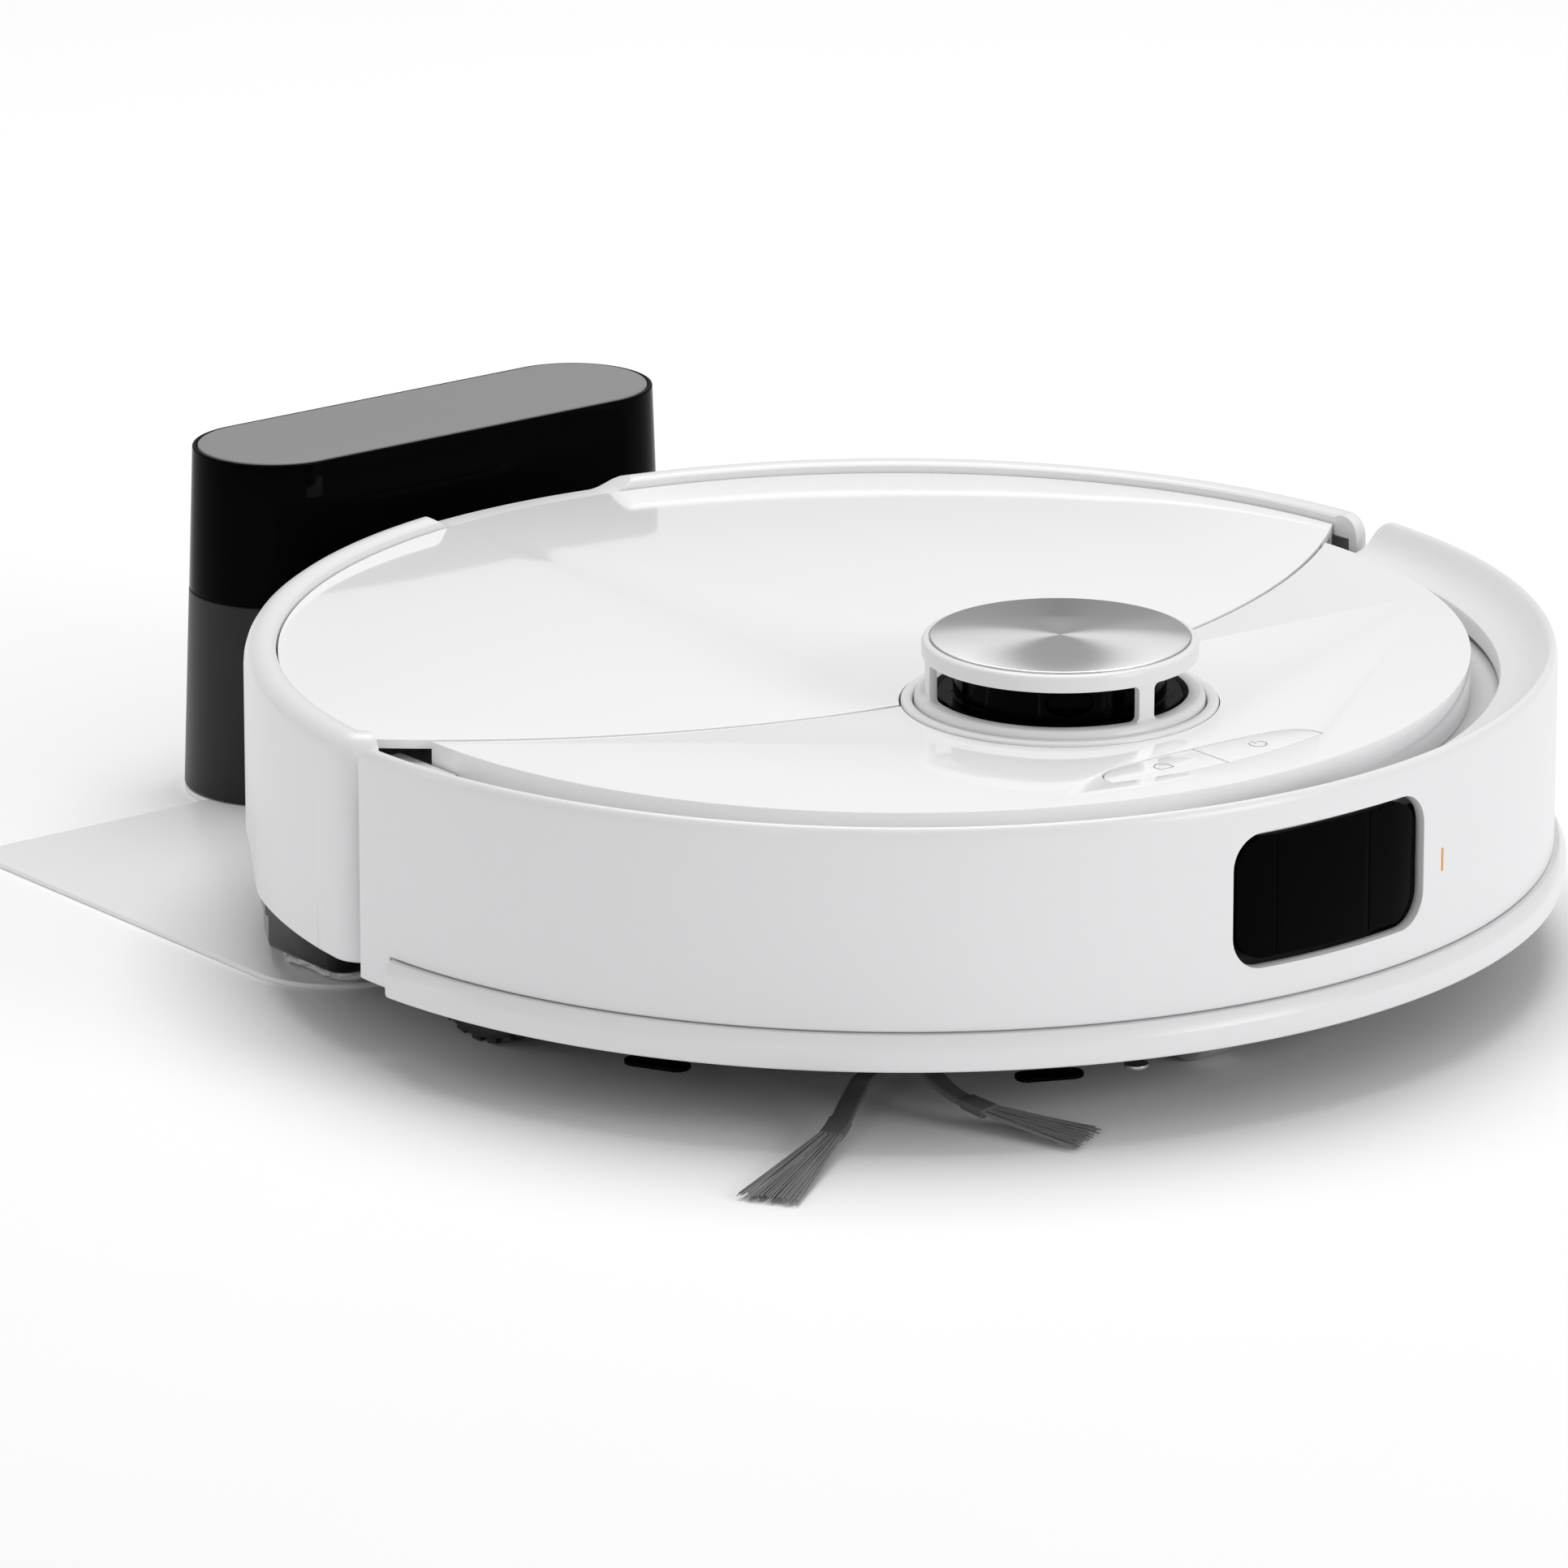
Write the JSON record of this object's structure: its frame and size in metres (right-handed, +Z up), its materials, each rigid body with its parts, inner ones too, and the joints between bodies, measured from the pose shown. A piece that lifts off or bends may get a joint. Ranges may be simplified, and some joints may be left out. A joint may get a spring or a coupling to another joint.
{
  "type": "robot vacuum",
  "caption": "Disc-shaped robot vacuum with laser turret, sprung bumper, side brush and rear mop plate, parked on a block-shaped charging dock with a flat plate.",
  "frame": {"origin": "on the floor, under the middle of the whole outline of robot and dock", "axes": "+Z up, the robot's front faces -Y, the dock stands at +Y"},
  "size_m": [0.3538, 0.4174, 0.1002],
  "materials": {
    "white_satin": "satin moulded",
    "white_gloss": "polished clear-coated",
    "black_gloss": "polished",
    "black_satin": "fine texture",
    "grey_plastic": "fine texture",
    "dock_grey": "fine satin",
    "plate_white": "fine matte",
    "dark_rubber": "matte",
    "tyre_rubber": "matte",
    "bristle_grey": "nylon filament",
    "brushed_cap": "spun brushed",
    "steel": "turned",
    "contact_brass": "plated",
    "board_green": "solder mask",
    "smoke_clear": "translucent",
    "mop_cloth": "looped microfibre",
    "filter_paper": "pleated"
  },
  "bodies": {
    "chassis": {"chassis_tray": "black_satin", "deck_frame": "grey_plastic", "rear_shell": "white_satin", "deck_panel": "white_gloss", "sensor_module": "black_satin", "main_board": "board_green", "charge_pad_right": "contact_brass", "charge_pad_left": "contact_brass", "bumper_switch_right": "black_satin", "bumper_switch_left": "black_satin", "turret_well_ring": "white_satin", "lidar_motor": "grey_plastic", "brush_end_cap": "grey_plastic", "brush_motor": "grey_plastic", "side_brush_motor": "grey_plastic", "battery_pack": "black_satin", "blower_housing": "grey_plastic"},
    "lid": {"lid": "white_gloss", "lid_magnet_right": "steel", "lid_magnet_left": "steel"},
    "home_button": {"home_button": "white_gloss"},
    "power_button": {"power_button": "white_gloss"},
    "bumper": {"front_bumper": "white_satin", "bumper_strip": "white_satin", "sensor_window": "black_gloss"},
    "lidar_cage": {"lidar_cage": "white_satin", "lidar_cap": "brushed_cap"},
    "lidar_head": {"lidar_head": "black_gloss", "lidar_lens": "black_gloss"},
    "suspension_right": {"suspension_arm_right": "black_satin"},
    "suspension_left": {"suspension_arm_left": "black_satin"},
    "wheel_right": {"wheel_hub_right": "grey_plastic", "tyre_right": "tyre_rubber"},
    "wheel_left": {"wheel_hub_left": "grey_plastic", "tyre_left": "tyre_rubber"},
    "caster_fork": {"caster_fork": "black_satin", "caster_axle": "steel"},
    "caster_wheel": {"caster_wheel": "grey_plastic"},
    "brush_roller": {"brush_roller": "dark_rubber"},
    "brush_guard": {"brush_guard": "black_satin"},
    "side_brush": {"side_brush_hub": "dark_rubber", "side_brush_arm_long": "dark_rubber", "side_brush_arm_short": "dark_rubber", "side_brush_tuft_long": "bristle_grey", "side_brush_tuft_short": "bristle_grey"},
    "dustbin": {"dustbin_tub": "smoke_clear", "dustbin_filter": "filter_paper"},
    "dustbin_cover": {"dustbin_cover": "grey_plastic"},
    "water_tank": {"water_tank": "smoke_clear"},
    "tank_cap": {"tank_cap": "dark_rubber"},
    "blower_impeller": {"blower_impeller": "black_satin"},
    "mop": {"mop_bracket": "black_gloss", "mop_cloth": "mop_cloth"},
    "dock": {"dock_plate": "plate_white", "dock_lower_housing": "black_satin", "dock_upper_housing": "black_gloss", "dock_top_panel": "dock_grey", "dock_inlet": "black_satin"},
    "dock_contact_right": {"dock_contact_right": "contact_brass"},
    "dock_contact_left": {"dock_contact_left": "contact_brass"}
  },
  "joints": [
    {"name": "lid_lift", "type": "slide", "parent": "chassis", "child": "lid", "axis": [0, 0, 1], "range_m": [0, 0.15]},
    {"name": "dustbin_lift", "type": "slide", "parent": "chassis", "child": "dustbin", "axis": [0, 0, 1], "range_m": [0, 0.075]},
    {"name": "tank_lift", "type": "slide", "parent": "chassis", "child": "water_tank", "axis": [0, 0, 1], "range_m": [0, 0.06]},
    {"name": "home_press", "type": "slide", "parent": "chassis", "child": "home_button", "axis": [0, 0, -1], "range_m": [0, 0.0008], "stiffness_N_per_m": 600, "springref_m": -0.0015},
    {"name": "power_press", "type": "slide", "parent": "chassis", "child": "power_button", "axis": [0, 0, -1], "range_m": [0, 0.0008], "stiffness_N_per_m": 600, "springref_m": -0.0015},
    {"name": "bumper_press", "type": "slide", "parent": "chassis", "child": "bumper", "axis": [0, 1, 0], "range_m": [0, 0.003], "stiffness_N_per_m": 300, "springref_m": -0.006},
    {"name": "turret_press", "type": "slide", "parent": "chassis", "child": "lidar_cage", "axis": [0, 0, -1], "range_m": [0, 0.0015], "stiffness_N_per_m": 500, "springref_m": -0.003},
    {"name": "lidar_spin", "type": "hinge", "parent": "chassis", "child": "lidar_head", "pos_m": [0, -0.09845, 0.08], "axis": [0, 0, 1], "continuous": true},
    {"name": "side_brush_spin", "type": "hinge", "parent": "chassis", "child": "side_brush", "pos_m": [-0.08, -0.13745, 0.012], "axis": [0, 0, 1], "continuous": true},
    {"name": "roller_spin", "type": "hinge", "parent": "chassis", "child": "brush_roller", "pos_m": [0, -0.08145, 0.0255], "axis": [1, 0, 0], "continuous": true},
    {"name": "impeller_spin", "type": "hinge", "parent": "chassis", "child": "blower_impeller", "pos_m": [0.113, 0.04055, 0.04], "axis": [0, 0, 1], "continuous": true},
    {"name": "brush_guard_drop", "type": "slide", "parent": "chassis", "child": "brush_guard", "axis": [0, 0, -1], "range_m": [0, 0.03]},
    {"name": "mop_slide", "type": "slide", "parent": "chassis", "child": "mop", "axis": [0, 1, 0], "range_m": [0, 0.01]},
    {"name": "caster_swivel", "type": "hinge", "parent": "chassis", "child": "caster_fork", "pos_m": [0, -0.16145, 0.024], "axis": [0, 0, 1], "continuous": true},
    {"name": "caster_spin", "type": "hinge", "parent": "caster_fork", "child": "caster_wheel", "pos_m": [0, -0.15645, 0.011], "axis": [1, 0, 0], "continuous": true},
    {"name": "dock_slide", "type": "slide", "parent": "chassis", "child": "dock", "axis": [0, 1, 0], "range_m": [0, 0.3]},
    {"name": "suspension_right_drop", "type": "hinge", "parent": "chassis", "child": "suspension_right", "pos_m": [-0.118, -0.07545, 0.042], "axis": [-1, 0, 0], "range_deg": [0, 22], "stiffness_Nm_per_rad": 2, "springref_deg": 51.57},
    {"name": "wheel_right_spin", "type": "hinge", "parent": "suspension_right", "child": "wheel_right", "pos_m": [-0.13, -0.03145, 0.033], "axis": [1, 0, 0], "continuous": true},
    {"name": "contact_right_press", "type": "slide", "parent": "dock", "child": "dock_contact_right", "axis": [0, 1, 0], "range_m": [0, 0.002], "stiffness_N_per_m": 400, "springref_m": -0.003},
    {"name": "suspension_left_drop", "type": "hinge", "parent": "chassis", "child": "suspension_left", "pos_m": [0.118, -0.07545, 0.042], "axis": [-1, 0, 0], "range_deg": [0, 22], "stiffness_Nm_per_rad": 2, "springref_deg": 51.57},
    {"name": "wheel_left_spin", "type": "hinge", "parent": "suspension_left", "child": "wheel_left", "pos_m": [0.13, -0.03145, 0.033], "axis": [1, 0, 0], "continuous": true},
    {"name": "contact_left_press", "type": "slide", "parent": "dock", "child": "dock_contact_left", "axis": [0, 1, 0], "range_m": [0, 0.002], "stiffness_N_per_m": 400, "springref_m": -0.003},
    {"name": "dustbin_cover_open", "type": "hinge", "parent": "dustbin", "child": "dustbin_cover", "pos_m": [0, 0.04705, 0.0693], "axis": [-1, 0, 0], "range_deg": [0, 60.5]},
    {"name": "tank_cap_pull", "type": "slide", "parent": "water_tank", "child": "tank_cap", "axis": [0, 0, 1], "range_m": [0, 0.006]}
  ],
  "couplings": [
    {"joint": "dustbin_lift", "follows": "lid_lift", "ratio": 0.5},
    {"joint": "tank_lift", "follows": "lid_lift", "ratio": 0.4},
    {"joint": "dustbin_cover_open", "follows": "lid_lift", "rad_per_m": 7},
    {"joint": "tank_cap_pull", "follows": "lid_lift", "ratio": 0.04}
  ]
}
